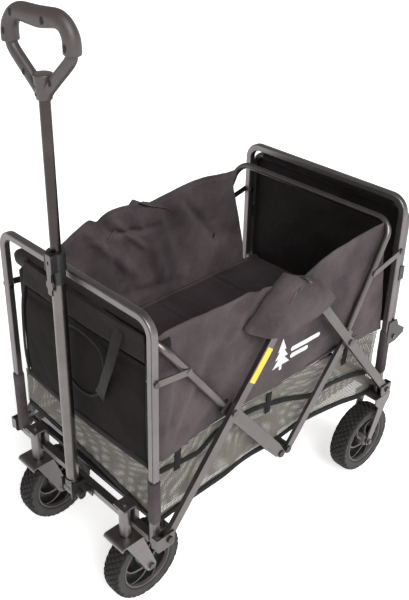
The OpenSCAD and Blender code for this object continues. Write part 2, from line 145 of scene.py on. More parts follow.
def sheet_grid(name, nu, nv, place, material, mm=1.6):
    """Cloth sheet: place(u, v) gives a point for u and v from 0 to 1. UVs are lengths in metres."""
    verts = [place(i / nu, j / nv) for j in range(nv + 1) for i in range(nu + 1)]
    faces = []
    for j in range(nv):
        for i in range(nu):
            a = j * (nu + 1) + i
            faces.append((a, a + 1, a + nu + 2, a + nu + 1))
    wide = sum((verts[i + 1] - verts[i]).length for i in range(nu))
    tall = sum((verts[(j + 1) * (nu + 1)] - verts[j * (nu + 1)]).length for j in range(nv))
    uvs = [(i / nu * wide, j / nv * tall) for j in range(nv + 1) for i in range(nu + 1)]
    obj = new_mesh(name, verts, faces, material, uvs)
    obj["flat"] = (wide, tall)
    return thicken(obj, mm)


def tube_faces(n, rows):
    """Faces between rows of n points each, where every row is a closed ring."""
    return [(k * n + i, k * n + (i + 1) % n, (k + 1) * n + (i + 1) % n, (k + 1) * n + i)
            for k in range(rows - 1) for i in range(n)]


def sweep(name, path, section, material, up=None):
    """section(t) gives the outline around each path point; the frame is carried along the path."""
    count = len(path)
    verts, tangent_of = [], []
    for k in range(count):
        tangent_of.append((path[min(k + 1, count - 1)] - path[max(k - 1, 0)]).normalized())
    side = up or Vector((0, 0, 1))
    if abs(side.normalized().dot(tangent_of[0])) > 0.95:
        side = Vector((1, 0, 0))
    for k in range(count):
        t = tangent_of[k]
        if up:
            side = up
        side = (side - t * side.dot(t)).normalized()
        other = t.cross(side).normalized()
        for a, b in section(k / max(count - 1, 1)):
            verts.append(path[k] + side * (b * MM) + other * (a * MM))
    n = len(section(0))
    faces = tube_faces(n, count) + [tuple(reversed(range(n))), tuple(range((count - 1) * n, count * n))]
    return new_mesh(name, verts, faces, material)


def ring_section(radius, n=16):
    def section(t):
        r = radius(t) if callable(radius) else radius
        return [(r * math.cos(2 * math.pi * i / n), r * math.sin(2 * math.pi * i / n)) for i in range(n)]
    return section


def tape_section(width, thick):
    def section(t):
        w = (width(t) if callable(width) else width) / 2
        return [(-w, -thick / 2), (w, -thick / 2), (w, thick / 2), (-w, thick / 2)]
    return section


def spline(points, per=8):
    """Catmull-Rom curve through the points."""
    out = []
    for k in range(len(points) - 1):
        p0 = points[max(k - 1, 0)]
        p1, p2 = points[k], points[k + 1]
        p3 = points[min(k + 2, len(points) - 1)]
        for i in range(per):
            t = i / per
            out.append(0.5 * ((2 * p1) + (p2 - p0) * t + (2 * p0 - 5 * p1 + 4 * p2 - p3) * t * t
                              + (3 * p1 - p0 - 3 * p2 + p3) * t**3))
    out.append(points[-1])
    return out


def join(name, parts):
    """One object from several, with their modifiers applied first."""
    bpy.ops.object.select_all(action="DESELECT")
    for p in parts:
        bpy.context.view_layer.objects.active = p
        for m in list(p.modifiers):
            bpy.ops.object.modifier_apply(modifier=m.name)
    for p in parts:
        p.select_set(True)
    bpy.context.view_layer.objects.active = parts[0]
    bpy.ops.object.join()
    parts[0].name = name
    return parts[0]


# ---- materials ----

def node_tree(name):
    mat = bpy.data.materials.new(name)
    mat.use_nodes = True
    nodes = mat.node_tree.nodes
    shader = nodes["Principled BSDF"]
    return mat, nodes, mat.node_tree.links, shader


def add_noise(nodes, links, scale, detail=3.0, rough=0.6, coords="Object"):
    where = nodes.new("ShaderNodeTexCoord")
    tex = nodes.new("ShaderNodeTexNoise")
    tex.inputs["Scale"].default_value = scale
    tex.inputs["Detail"].default_value = detail
    tex.inputs["Roughness"].default_value = rough
    links.new(where.outputs[coords], tex.inputs["Vector"])
    return tex


def ramp(nodes, links, source, low, high, a=0.35, b=0.65):
    node = nodes.new("ShaderNodeValToRGB")
    node.color_ramp.elements[0].position = a
    node.color_ramp.elements[0].color = (*low, 1)
    node.color_ramp.elements[1].position = b
    node.color_ramp.elements[1].color = (*high, 1)
    links.new(source, node.inputs["Fac"])
    return node


def add_bump(nodes, links, height, shader, strength, distance, previous=None):
    bump = nodes.new("ShaderNodeBump")
    bump.inputs["Strength"].default_value = strength
    bump.inputs["Distance"].default_value = distance
    links.new(height, bump.inputs["Height"])
    if previous:
        links.new(previous.outputs["Normal"], bump.inputs["Normal"])
    links.new(bump.outputs["Normal"], shader.inputs["Normal"])
    return bump


def surface(name, low, high, roughness, metallic=0.0, grain=900, bump=0.15, depth=0.0002, cloud=14,
            shine=0.5, rough_span=0.08):
    """Moulded, painted or plated surface: clouded colour, uneven gloss and fine grain."""
    mat, nodes, links, shader = node_tree(name)
    clouds = add_noise(nodes, links, cloud, 4)
    links.new(ramp(nodes, links, clouds.outputs["Fac"], low, high).outputs["Color"],
              shader.inputs["Base Color"])
    gloss = nodes.new("ShaderNodeMapRange")
    gloss.inputs["To Min"].default_value = roughness - rough_span
    gloss.inputs["To Max"].default_value = roughness + rough_span
    smudge = add_noise(nodes, links, cloud * 5, 5)
    links.new(smudge.outputs["Fac"], gloss.inputs["Value"])
    links.new(gloss.outputs["Result"], shader.inputs["Roughness"])
    shader.inputs["Metallic"].default_value = metallic
    shader.inputs["Specular IOR Level"].default_value = shine
    fine = add_noise(nodes, links, grain, 2)
    add_bump(nodes, links, fine.outputs["Fac"], shader, bump, depth)
    return mat


def wave(nodes, links, vector, scale, direction="X"):
    tex = nodes.new("ShaderNodeTexWave")
    tex.wave_type = "BANDS"
    tex.bands_direction = direction
    tex.inputs["Scale"].default_value = scale
    links.new(vector, tex.inputs["Vector"])
    return tex


def cloth(name, low, high, roughness=0.85, period=0.0011, diagonal=False, strength=0.5, sheen=0.06, fuzz=1.0):
    """Woven cloth: two crossed sets of threads on the sheet's own lengths, worn colour and lint."""
    mat, nodes, links, shader = node_tree(name)
    where = nodes.new("ShaderNodeTexCoord")
    turn = nodes.new("ShaderNodeMapping")
    turn.inputs["Rotation"].default_value = (0, 0, math.radians(32) if diagonal else 0)
    links.new(where.outputs["UV"], turn.inputs["Vector"])
    scale = 0.314 / period
    warp = wave(nodes, links, turn.outputs["Vector"], scale, "X")
    weft = wave(nodes, links, turn.outputs["Vector"], scale * (0.35 if diagonal else 1), "Y")
    both = nodes.new("ShaderNodeMath")
    both.operation = "MULTIPLY_ADD"
    both.inputs[1].default_value = 0.6
    links.new(weft.outputs["Fac"], both.inputs[0])
    links.new(warp.outputs["Fac"], both.inputs[2])
    clouds = add_noise(nodes, links, 9, 5)
    lint = add_noise(nodes, links, 420, 3)
    base = ramp(nodes, links, clouds.outputs["Fac"], low, high)
    light = nodes.new("ShaderNodeMix")
    light.data_type = "RGBA"
    light.blend_type = "OVERLAY"
    light.inputs[0].default_value = 0.45 * fuzz
    links.new(base.outputs["Color"], light.inputs[6])
    links.new(lint.outputs["Fac"], light.inputs[7])
    thread = nodes.new("ShaderNodeMix")
    thread.data_type = "RGBA"
    thread.blend_type = "MULTIPLY"
    thread.inputs[0].default_value = 0.5
    tint = ramp(nodes, links, both.outputs["Value"], (0.55, 0.55, 0.55), (1, 1, 1), 0.1, 1.0)
    links.new(light.outputs[2], thread.inputs[6])
    links.new(tint.outputs["Color"], thread.inputs[7])
    links.new(thread.outputs[2], shader.inputs["Base Color"])
    shader.inputs["Roughness"].default_value = roughness
    shader.inputs["Specular IOR Level"].default_value = 0.16
    shader.inputs["Sheen Weight"].default_value = sheen
    shader.inputs["Sheen Roughness"].default_value = 0.45
    first = add_bump(nodes, links, both.outputs["Value"], shader, strength, 0.0004)
    creases = add_noise(nodes, links, 28, 4, 0.55)
    add_bump(nodes, links, creases.outputs["Fac"], shader, 0.45, 0.007, first)
    return mat


def net_material(name, colour, period=0.0026, thread=0.42):
    """Open net: threads show, the holes between them are clear."""
    mat, nodes, links, shader = node_tree(name)
    where = nodes.new("ShaderNodeTexCoord")
    scale = 0.314 / period
    parts = []
    for direction in ("X", "Y"):
        band = wave(nodes, links, where.outputs["UV"], scale, direction)
        step = nodes.new("ShaderNodeMapRange")
        step.inputs["From Min"].default_value = 1 - thread - 0.12
        step.inputs["From Max"].default_value = 1 - thread + 0.12
        links.new(band.outputs["Fac"], step.inputs["Value"])
        parts.append(step)
    both = nodes.new("ShaderNodeMath")
    both.operation = "MAXIMUM"
    links.new(parts[0].outputs["Result"], both.inputs[0])
    links.new(parts[1].outputs["Result"], both.inputs[1])
    clouds = add_noise(nodes, links, 30, 4)
    links.new(ramp(nodes, links, clouds.outputs["Fac"], [c * 0.8 for c in colour], colour).outputs["Color"],
              shader.inputs["Base Color"])
    shader.inputs["Roughness"].default_value = 0.8
    links.new(both.outputs["Value"], shader.inputs["Alpha"])
    add_bump(nodes, links, both.outputs["Value"], shader, 0.4, 0.0004)
    return mat


FRAME_METAL = surface("frame_metal", (0.19, 0.176, 0.174), (0.222, 0.206, 0.204),
                      0.42, 1.0, 1400, 0.12, 0.0001)
ARM_METAL = surface("arm_metal", (0.145, 0.132, 0.128), (0.175, 0.16, 0.156), 0.38, 1.0, 1400, 0.12, 0.0001)
HANDLE_METAL = surface("handle_metal", (0.15, 0.136, 0.132), (0.18, 0.164, 0.16),
                       0.32, 1.0, 1400, 0.1, 0.0001)
POLE_METAL = surface("pole_metal", (0.06, 0.051, 0.049), (0.075, 0.064, 0.061), 0.3, 1.0, 1400, 0.1, 0.0001)
STEEL = surface("blackened_steel", (0.09, 0.086, 0.084), (0.15, 0.143, 0.14), 0.34, 1.0, 700, 0.12, 0.0001)
DARK_STEEL = surface("dark_steel", (0.07, 0.066, 0.064), (0.1, 0.095, 0.092), 0.38, 0.9, 1100, 0.15, 0.0001)
# Black plastic; the wheel hubs' web also uses it, darker than the rest of the hub, as painted shade between the
# spokes.
BLACK_PLASTIC_AND_WEB_SHADE = surface("black_plastic", (0.01, 0.01, 0.01), (0.018, 0.017, 0.017),
                        0.4, 0, 1600, 0.3, 0.0002)
HUB_PLASTIC = surface("hub_plastic", (0.062, 0.052, 0.053), (0.09, 0.077, 0.077),
                      0.4, 0, 1500, 0.25, 0.0002)
GRIP_PLASTIC = surface("grip_plastic", (0.054, 0.043, 0.042), (0.068, 0.056, 0.054),
                       0.44, 0, 2200, 0.35, 0.0002)
GRIP_BASE = surface("grip_base_plastic", (0.056, 0.046, 0.044), (0.07, 0.058, 0.056),
                    0.38, 0, 1900, 0.25, 0.0002)
RUBBER = surface("tyre_rubber", (0.009, 0.0072, 0.0072), (0.017, 0.0138, 0.0138),
                 0.7, 0, 700, 0.5, 0.0003, 40, 0.3)
SIDEWALL = surface("tyre_sidewall", (0.026, 0.022, 0.022), (0.038, 0.033, 0.033),
                   0.6, 0, 900, 0.4, 0.0002, 40, 0.3)
CLOTH = cloth("tub_cloth", (0.054, 0.042, 0.045), (0.104, 0.082, 0.086))
# Rear panel and its top sleeve: tub cloth made much darker because the rear wall faces away from the light: painted
# shade.
REAR_CLOTH_PAINTED_SHADE = cloth("rear_cloth_painted_shade", (0.012, 0.009, 0.0085), (0.022, 0.017, 0.016), 0.6)
CLOTH_FLOOR = cloth("floor_cloth", (0.028, 0.02, 0.0215), (0.046, 0.034, 0.037))
# Front panel and pocket: a ribbed black mesh, darkened further because the front faces away from the light: partly
# the mesh's own colour, partly painted shade.
RIBBED_MESH_AND_SHADE = cloth("front_ribbed_mesh_and_shade", (0.0075, 0.0052, 0.0046), (0.013, 0.0095, 0.0085),
               0.85, 0.0034, True, 0.8, 0.0)
# Front band: tub cloth made much darker because the front faces away from the light: painted shade.
BAND_CLOTH_PAINTED_SHADE = cloth("front_band_painted_shade", (0.014, 0.0105, 0.0095), (0.024, 0.0185, 0.017),
                   0.85, 0.0011, False, 0.5, 0.02)
ROLL_CLOTH = cloth("front_roll", (0.045, 0.037, 0.037), (0.07, 0.058, 0.058))
WEBBING = cloth("webbing", (0.014, 0.012, 0.011), (0.026, 0.022, 0.02), 0.75, 0.0022, False, 0.8)
BINDING = cloth("binding", (0.008, 0.007, 0.007), (0.014, 0.0125, 0.0125), 0.8, 0.0016)
NET = net_material("basket_net", (0.2, 0.185, 0.155), 0.0036, 0.36)
LABEL = surface("yellow_label", (0.8, 0.5, 0.03), (0.9, 0.6, 0.05), 0.5, 0, 800, 0.1, 0.0001, 60)
PRINT = surface("white_print", (0.62, 0.6, 0.6), (0.75, 0.73, 0.73), 0.65, 0, 900, 0.3, 0.0001, 90)
# Near-black for the grip's recesses and screw sockets: painted shade standing in for their depth.
RECESS_PAINTED_SHADE = surface("recess_painted_shade", (0.003, 0.003, 0.003), (0.006, 0.006, 0.006), 0.7, 0, 900, 0.1, 0.0001)


# ---- CAD pieces that keep their shape ----

MATERIAL_OF = {
    FRAME_METAL: ["front_frame_tube", "rear_frame_tube", "front_crossbar", "rear_crossbar", "caster_sleeves",
                  "right_caster_fork", "left_caster_fork", "rear_forks", "centre_frame", "tail_frame"],
    ARM_METAL: ["front_arms", "rear_arms", "front_arch", "rear_arch", "short_links_front", "short_links_rear",
                "front_foot_brackets", "rear_foot_brackets", "handle_lever"],
    HANDLE_METAL: ["handle_tube"],
    POLE_METAL: ["handle_pole"],
    STEEL: ["front_foot_bolts", "rear_foot_bolts", "front_link_pins", "rear_link_pins", "right_caster_stem",
            "left_caster_stem", "right_caster_axle", "left_caster_axle", "rear_axles", "front_cross_pins",
            "rear_cross_pins", "handle_foot", "tail_pins"],
    DARK_STEEL: ["handle_bracket", "tail_brackets"],
    BLACK_PLASTIC_AND_WEB_SHADE: ["bottom_hubs", "top_hubs", "handle_pivot_bolt", "tail_clips", "handle_collar"],
}

for material, names in MATERIAL_OF.items():
    for name in names:
        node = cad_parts[name]
        node.data.materials.clear()
        node.data.materials.append(material)
        node.data.shade_smooth()
        bevel(node)
        weighted = node.modifiers.new("shading", "WEIGHTED_NORMAL")
        weighted.keep_sharp = True


# ---- wheels ----

def tyre(name, x, y):
    """Chunky tyre: diamond blocks across the tread and a stepped sidewall."""
    around, across = 300, 34
    inner = 62.5
    block = 15
    groove = 2.8
    tread_share = 1.45
    turns = round(2 * math.pi * WHEEL_R / block)
    verts, faces = [], []
    for i in range(around):
        a = 2 * math.pi * i / around
        for j in range(across + 1):
            s = 2 * j / across - 1
            half = TYRE_HALF - 0.4
            w = half * math.copysign(min(1.0, abs(s) * tread_share), s)
            if abs(s) * tread_share < 1:
                r = WHEEL_R - 0.6 - 4.2 * (abs(s) * tread_share) ** 4
                u = a * turns / (2 * math.pi)
                v = w / block
                g = min(abs((u + v) % 1 - 0.5), abs((u - v) % 1 - 0.5))
                r -= groove * (1 - smooth(0.04, 0.14, g))
            else:
                k = (abs(s) * tread_share - 1) / (tread_share - 1)
                r = mix(WHEEL_R - 5.2, inner, k)
                lug = 1.0 if (a * 22 / (2 * math.pi)) % 1 < 0.5 else 0.0
                if k < 0.22:
                    r -= 1.2 * lug
                step = -1.6 * smooth(0.25, 0.32, k) + 0.8 * smooth(0.5, 0.56, k) - 2.4 * smooth(0.85, 1.0, k)
                w += math.copysign(1, s) * step
            verts.append(point(x + w, y + r * math.sin(a), WHEEL_R + r * math.cos(a)))
    n = across + 1
    for i in range(around):
        k = (i + 1) % around
        for j in range(across):
            faces.append((i * n + j, i * n + j + 1, k * n + j + 1, k * n + j))
        faces.append((i * n + across, i * n, k * n, k * n + across))
    obj = new_mesh(name, verts, faces, RUBBER)
    obj.data.materials.append(SIDEWALL)
    for poly in obj.data.polygons:
        c = poly.center
        out = math.hypot(c.y - FRONT_Y - y * MM, c.z - WHEEL_R * MM) / MM
        if inner + 2 < out < WHEEL_R - 8.5 and abs(c.x / MM - x) > TYRE_HALF * 0.8:
            poly.material_index = 1
    return obj


def hub(name, x, y, spokes=6):
    """Deep hub: rim, boss and curved fan spokes on both sides of a thin web, which is coloured darker than the rest
    of the hub as painted shade.
    """
    verts, faces = [], []

    def lathe(profile, n=72):
        base = len(verts)
        m = len(profile)
        for i in range(n):
            a = 2 * math.pi * i / n
            for w, r in profile:
                verts.append(point(x + w, y + r * math.sin(a), WHEEL_R + r * math.cos(a)))
        for i in range(n):
            k = (i + 1) % n
            for j in range(m):
                q = (j + 1) % m
                faces.append((base + i * m + j, base + i * m + q, base + k * m + q, base + k * m + j))

    rim = [(19.5, 62.2), (20.5, 60.5), (19.5, 58.5), (12, 57)]
    boss = [(25.5, 9.5), (25.5, 13), (23, 15)]
    lathe([(-w, r) for w, r in rim] + list(reversed(rim)))
    lathe([(-w, r) for w, r in boss] + list(reversed(boss)) + [(24, 4.3), (-24, 4.3)], 48)
    lathe([(-1.4, 14.0), (-1.4, 57.6), (1.4, 57.6), (1.4, 14.0)])
    for s in range(spokes):
        start = 2 * math.pi * s / spokes
        steps = 12
        base = len(verts)
        for i in range(steps + 1):
            t = i / steps
            r = mix(13.5, 57.8, t)
            a = start + 0.85 * t * t
            half = mix(20, 15, t) * (1 - 0.2 * math.sin(math.pi * t))
            thick = mix(3.2, 2.4, t) / r
            for w, da in ((-half, -thick), (half, -thick), (half, thick), (-half, thick)):
                verts.append(point(x + w, y + r * math.sin(a + da), WHEEL_R + r * math.cos(a + da)))
        for i in range(steps):
            for j in range(4):
                p = base + i * 4
                q = base + (i + 1) * 4
                faces.append((p + j, p + (j + 1) % 4, q + (j + 1) % 4, q + j))
        faces.append((base + 3, base + 2, base + 1, base))
        last = base + steps * 4
        faces.append((last, last + 1, last + 2, last + 3))
    obj = new_mesh(name, verts, faces, HUB_PLASTIC)
    obj.data.materials.append(BLACK_PLASTIC_AND_WEB_SHADE)
    # The web between the spokes gets the darker black plastic: painted shade in the dish.
    for poly in obj.data.polygons:
        c = poly.center
        out = math.hypot(c.y - FRONT_Y - y * MM, c.z - WHEEL_R * MM) / MM
        if abs(c.x / MM - x) < 3 and out > 17:
            poly.material_index = 1
    return bevel(obj, 0.7, 2, 40)


for label, body in (("front_right", "front_right_wheel"), ("front_left", "front_left_wheel"),
                    ("rear_right", "rear_right_wheel"), ("rear_left", "rear_left_wheel")):
    wx = middle(label + "_tyre", 0) / MM
    wy = (middle(label + "_tyre", 1) - FRONT_Y) / MM
    for maker, part, slot in ((tyre, "tyre", "tyre"), (hub, "hub", "black_plastic")):
        piece = maker(f"{label}_{part}_shape", wx, wy)
        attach(piece, body)
        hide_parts(f"{label}_{part}")


# ---- handle ----

HANDLE_Y = (middle("handle_tube", 1) - FRONT_Y) / MM
GRIP_TURN = math.radians(8.75)


def grip_point(x, y, z):
    """A point of the grip: x across the handle, y from front to back, both about the pole."""
    c, s = math.cos(GRIP_TURN), math.sin(GRIP_TURN)
    return point(x * c - y * s, HANDLE_Y + x * s + y * c, z)


def grip_arch():
    path = [grip_point(-70, 0, 1140), grip_point(-70.5, 0, 1152), grip_point(-68, 0, 1168),
            grip_point(-58, 0, 1183), grip_point(-42, 0, 1190.5), grip_point(-20, 0, 1190.5),
            grip_point(0, 0, 1190), grip_point(20, 0, 1190.5), grip_point(42, 0, 1190.5),
            grip_point(58, 0, 1183), grip_point(68, 0, 1168), grip_point(70.5, 0, 1152), grip_point(70, 0, 1140)]
    path = spline(path, 7)

    def section(t):
        n = 24
        belly = math.exp(-((t - 0.5) / 0.13) ** 2)
        end = smooth(0.0, 0.02, t) * smooth(0.0, 0.02, 1 - t)
        out = []
        for i in range(n):
            a = 2 * math.pi * i / n
            r = mix(14.2, 15.3, end) - 1.2 * math.exp(-((abs(t - 0.5) - 0.27) / 0.08) ** 2)
            px, pz = 1.0 * r * math.cos(a), r * math.sin(a)
            if pz < 0:
                pz *= 1 + 0.28 * belly
            out.append((px, pz))
        return out

    centre = grip_point(0, 0, 1150)
    count = len(path)
    verts = []
    depth = (grip_point(0, 1, 0) - grip_point(0, 0, 0)).normalized()
    for k, p in enumerate(path):
        t = (path[min(k + 1, count - 1)] - path[max(k - 1, 0)]).normalized()
        outward = t.cross(depth).normalized()
        if outward.dot(p - centre) < 0:
            outward = -outward
        for a, b in section(k / (count - 1)):
            verts.append(p + depth * (a * MM) + outward * (b * MM))
    n = 24
    faces = tube_faces(n, count) + [tuple(reversed(range(n))), tuple(range((count - 1) * n, count * n))]
    obj = new_mesh("grip_over_moulding", verts, faces, GRIP_PLASTIC)
    return bevel(obj, 1.4, 3, 50)


def grip_vee():
    parts = []
    for s in (-1, 1):
        path = spline([grip_point(s * 2, 0, 1060), grip_point(s * 10, 0, 1072), grip_point(s * 30, 0, 1093),
                       grip_point(s * 52, 0, 1115), grip_point(s * 63, 0, 1127), grip_point(s * 68, 0, 1136),
                       grip_point(s * 69, 0, 1146)], 6)
        parts.append(sweep("vee", path, ring_section(lambda t: 11.4 - 1.2 * t, 20), GRIP_BASE))
    profile = [(1056, 12.6), (1057, 13.8), (1070, 14.6), (1088, 16.2), (1096, 17.2), (1098.5, 16.6), (1098.8, 14)]
    n = 32
    verts = []
    for z, r in profile:
        for i in range(n):
            a = 2 * math.pi * i / n
            verts.append(grip_point(r * math.cos(a), r * math.sin(a), z))
    rows = len(profile)
    faces = tube_faces(n, rows) + [tuple(reversed(range(n))), tuple(range((rows - 1) * n, rows * n))]
    parts.append(new_mesh("boss", verts, faces, GRIP_BASE))
    return join("grip_vee", parts)


def disc(name, centre, normal, rx, ry, deep, material):
    """Flat button with a rounded edge, rx by ry, standing deep out of the surface at centre."""
    normal = normal.normalized()
    side = Vector((0, 0, 1))
    side = (side - normal * side.dot(normal)).normalized()
    other = normal.cross(side)
    n = 24
    verts = []
    for scale, h in ((1.0, -0.5), (1.0, 0.6), (0.88, 1.0)):
        for i in range(n):
            a = 2 * math.pi * i / n
            verts.append(centre + normal * (h * deep * MM)
                         + (side * (ry * math.sin(a)) + other * (rx * math.cos(a))) * (scale * MM))
    faces = tube_faces(n, 3) + [tuple(reversed(range(n))), tuple(range(2 * n, 3 * n))]
    return new_mesh(name, verts, faces, material)


arch = grip_arch()
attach(arch, "handle_slider")
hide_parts("grip_arch")
vee = grip_vee()
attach(vee, "handle_slider")
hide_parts("grip_base")

front = (grip_point(0, -1, 0) - grip_point(0, 0, 0)).normalized()
# Raised black discs where the grip has recesses: painted shade in place of hollows.
for k, (x, z, y, rx, ry) in enumerate(((-50, 1190, -14.6, 3.6, 6.2), (22, 1187, -15.2, 3.8, 6.6),
                                       (-70, 1158, -15.0, 3.6, 6.0), (69, 1152, -15.2, 3.8, 6.4),
                                       (-34, 1097, -10.9, 3.2, 5.4), (26, 1089, -11.2, 3.4, 5.8))):
    hole = disc(f"grip_recess_painted_shade_{k}", grip_point(x, y, z), front, rx, ry, 0.5, RECESS_PAINTED_SHADE)
    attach(hole, "handle_slider")
for k, z in enumerate((1065, 1078)):
    screw = disc(f"grip_screw_{k}", grip_point(-6.5, -12.6 - (z - 1065) * 0.06, z),
                 grip_point(-0.45, -1, 0) - grip_point(0, 0, 0), 3.0, 3.0, 1.2, STEEL)
    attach(screw, "handle_slider")
    # Black disc on the screw head: painted shade of its socket.
    socket_shade = disc(f"grip_screw_socket_painted_shade_{k}", grip_point(-7.0, -13.7 - (z - 1065) * 0.06, z),
                     grip_point(-0.45, -1, 0) - grip_point(0, 0, 0), 1.3, 1.3, 0.5, RECESS_PAINTED_SHADE)
    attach(socket_shade, "handle_slider")


# ---- cloth of the tub ----

def crease(y, z, a, b, width, height):
    """Height of a soft ridge along the line a-b in the side's plane, fading out at its ends."""
    ay, az = a
    by, bz = b
    dy, dz = by - ay, bz - az
    length = math.hypot(dy, dz)
    t = ((y - ay) * dy + (z - az) * dz) / length**2
    d = abs((y - ay) * dz - (z - az) * dy) / length
    fade = smooth(-0.12, 0.2, t) * smooth(-0.12, 0.2, 1 - t)
    return height * fade * math.exp(-((d / width) ** 2))


NEAR_TOP = [(14, 640), (30, 672), (60, 678), (165, 674), (285, 669), (345, 661), (408, 652), (480, 661), (560, 672),
            (640, 679), (688, 680)]
NEAR_BOTTOM = [(14, 388), (35, 389), (170, 404), (357, 404), (513, 400), (700, 387), (726, 384)]
NEAR_REAR = [(384, 726), (500, 712), (600, 696), (680, 688)]
NEAR_CREASES = [((284, 672), (192, 586), 9, 11), ((262, 668), (200, 640), 12, -6),
                ((34, 396), (60, 650), 13, 6), ((36, 394), (98, 640), 12, -5), ((40, 396), (140, 620), 15, 6.5),
                ((44, 396), (190, 600), 15, -5), ((60, 400), (250, 560), 20, 5), ((255, 640), (330, 500), 18, 5),
                ((215, 660), (300, 560), 14, -4), ((520, 560), (700, 420), 24, 5), ((560, 640), (700, 560), 26, -4),
                ((120, 660), (230, 520), 22, 4), ((430, 430), (640, 400), 18, -4)]
FAR_TOP = [(14, 636), (60, 644), (131, 650), (178, 670), (219, 684), (246, 674), (283, 688), (347, 684), (407, 668),
           (454, 674), (502, 683), (585, 687), (650, 680), (688, 676)]
FAR_BOTTOM = [(14, 392), (200, 404), (720, 404)]
FAR_REAR = [(404, 704), (420, 700), (465, 694), (535, 677), (589, 664), (639, 652), (676, 665)]
FAR_CREASES = [((190, 660), (330, 500), 14, -14), ((240, 676), (300, 470), 14, 14), ((330, 680), (420, 450), 18, -15),
               ((196, 640), (420, 600), 9, 7), ((270, 660), (360, 560), 8, -8), ((470, 660), (600, 500), 12, 8),
               ((300, 600), (330, 440), 14, 10), ((420, 664), (500, 450), 20, 10), ((360, 640), (380, 480), 12, 8),
               ((430, 660), (560, 600), 26, -8), ((80, 640), (230, 470), 24, -8), ((250, 460), (480, 430), 14, 6),
               ((540, 670), (640, 470), 40, 6)]


def side_cloth(name, side, top, bottom, rear, creases, seed):
    def place(u, v):
        y = mix(14, 726, u)
        z0 = curve_value(bottom, y)
        z1 = curve_value(top, min(y, 688))
        z = mix(z0, z1, v)
        y = mix(14, curve_value(rear, z), u)
        x = SIDE_X - 1
        x += 3.0 * wobble(y, z, seed, 110, seed) + 1.3 * wobble(y, z, 0, 38, seed + 5)
        for a, b, w, h in creases:
            x += crease(y, z, a, b, w, h)
        slack = math.sin(math.pi * u) ** 0.6
        x += slack * 3.5 * math.sin(math.pi * v)
        hub_pull = math.exp(-((y - HUB_Y) / 60) ** 2) * smooth(0.72, 0.98, v)
        x = mix(x, SIDE_X + 9, hub_pull)
        hem = smooth(0.955, 0.958, v)
        x += 1.1 * hem
        x = max(min(x, SIDE_X + 12), SIDE_X - 22)
        round_off = smooth(30, 0, y - 14)
        x -= 9 * round_off**2
        return point(side * x, y, z)
    obj = sheet_grid(name, 190, 84, place, CLOTH, 1.5)
    return obj


near = side_cloth("tub_side_right_cloth", 1, NEAR_TOP, NEAR_BOTTOM, NEAR_REAR, NEAR_CREASES, 3.0)
far = side_cloth("tub_side_left_cloth", -1, FAR_TOP, FAR_BOTTOM, FAR_REAR, FAR_CREASES, 11.0)
for piece in (near, far):
    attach(piece, "front_frame")
    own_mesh(piece)
    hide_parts("tub_sides")
    tuple(round(f, 3) for f in piece["flat"])


def floor_place(u, v):
    x = mix(-SIDE_X + 1, SIDE_X - 1, u)
    y = mix(15, GAP + 20, v)
    z = FLOOR_Z + 0.8
    for seam in (196, 388, 585):
        z -= 2.6 * math.exp(-((y - seam) / 4.5) ** 2)
        z += 2.0 * math.exp(-((y - seam - 9) / 7) ** 2)
    z += 1.6 * wobble(x, y, 0, 120, 2) + 0.7 * wobble(x, y, 0, 40, 9)
    edge = 1 - smooth(0, 26, SIDE_X - 1 - abs(x))
    z += 7 * edge**2
    return point(x, y, z)


floor_sheet = sheet_grid("tub_floor_cloth", 70, 170, floor_place, CLOTH_FLOOR, 2.4)
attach(floor_sheet, "front_frame")
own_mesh(floor_sheet)
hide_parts("tub_floor")

for s, side_name in ((1, "right"), (-1, "left")):
    path = [point(s * (SIDE_X - 7 + 1.5 * wobble(y, 0, 0, 60, s)), y, FLOOR_Z + 7 + 1.5 * wobble(y, 3, 0, 80, s))
            for y in range(20, 716, 8)]
    piping = sweep(f"floor_piping_{side_name}", path, ring_section(2.6, 10), CLOTH)
    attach(piping, "front_frame")
    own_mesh(piping)


def tail_place(u, v):
    x = mix(-225, 225, u)
    z = mix(FLOOR_Z - 8, 688, v)
    y = GAP + 21
    sag = math.sin(math.pi * u) * math.sin(math.pi * v)
    y -= 5 * sag * (0.6 + 0.8 * wobble(x, z, 0, 130, 4))
    y -= 4 * math.exp(-(((x - 60) * 0.5 + (z - 520)) / 40) ** 2) * sag
    y += 3 * math.exp(-(((x + 120) * 0.9 - (z - 480)) / 26) ** 2) * sag
    y += 1.2 * wobble(x, z, 0, 45, 8)
    return point(x, y, z)


# The rear panel's dark cloth is painted shade of the wall facing away from the light.
tail_cloth = sheet_grid("tail_panel_cloth", 90, 60, tail_place, REAR_CLOTH_PAINTED_SHADE, 1.6)
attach(tail_cloth, "tail_frame")
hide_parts("tail_panel")

path = [point(x, GAP + 19, 696 + 0.8 * wobble(x, 0, 0, 50, 6)) for x in range(-196, 197, 7)]
tail_sleeve = sweep("tail_sleeve", path, ring_section(lambda t: 10.2 + 0.7 * math.sin(40 * t), 20), REAR_CLOTH_PAINTED_SHADE)
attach(tail_sleeve, "tail_frame")


# ---- front cloth: roll, band, panel, pocket, strap ----

ROLL_Y = (middle("front_roll", 1) - FRONT_Y) / MM
ROLL_Z = middle("front_roll", 2) / MM


def roll_section(t):
    n = 36
    out = []
    for i in range(n):
        a = 2 * math.pi * i / n
        end = smooth(0.0, 0.035, t) * smooth(0.0, 0.035, 1 - t)
        r = mix(14, 20.5, end)
        r += 1.5 * wobble(math.cos(a) * 30, math.sin(a) * 30, t * 700, 60, 4)
        r += 0.8 * math.sin(a * 3 + 9 * t)
        px, pz = r * math.cos(a), r * math.sin(a)
        out.append((px, pz))
    return out


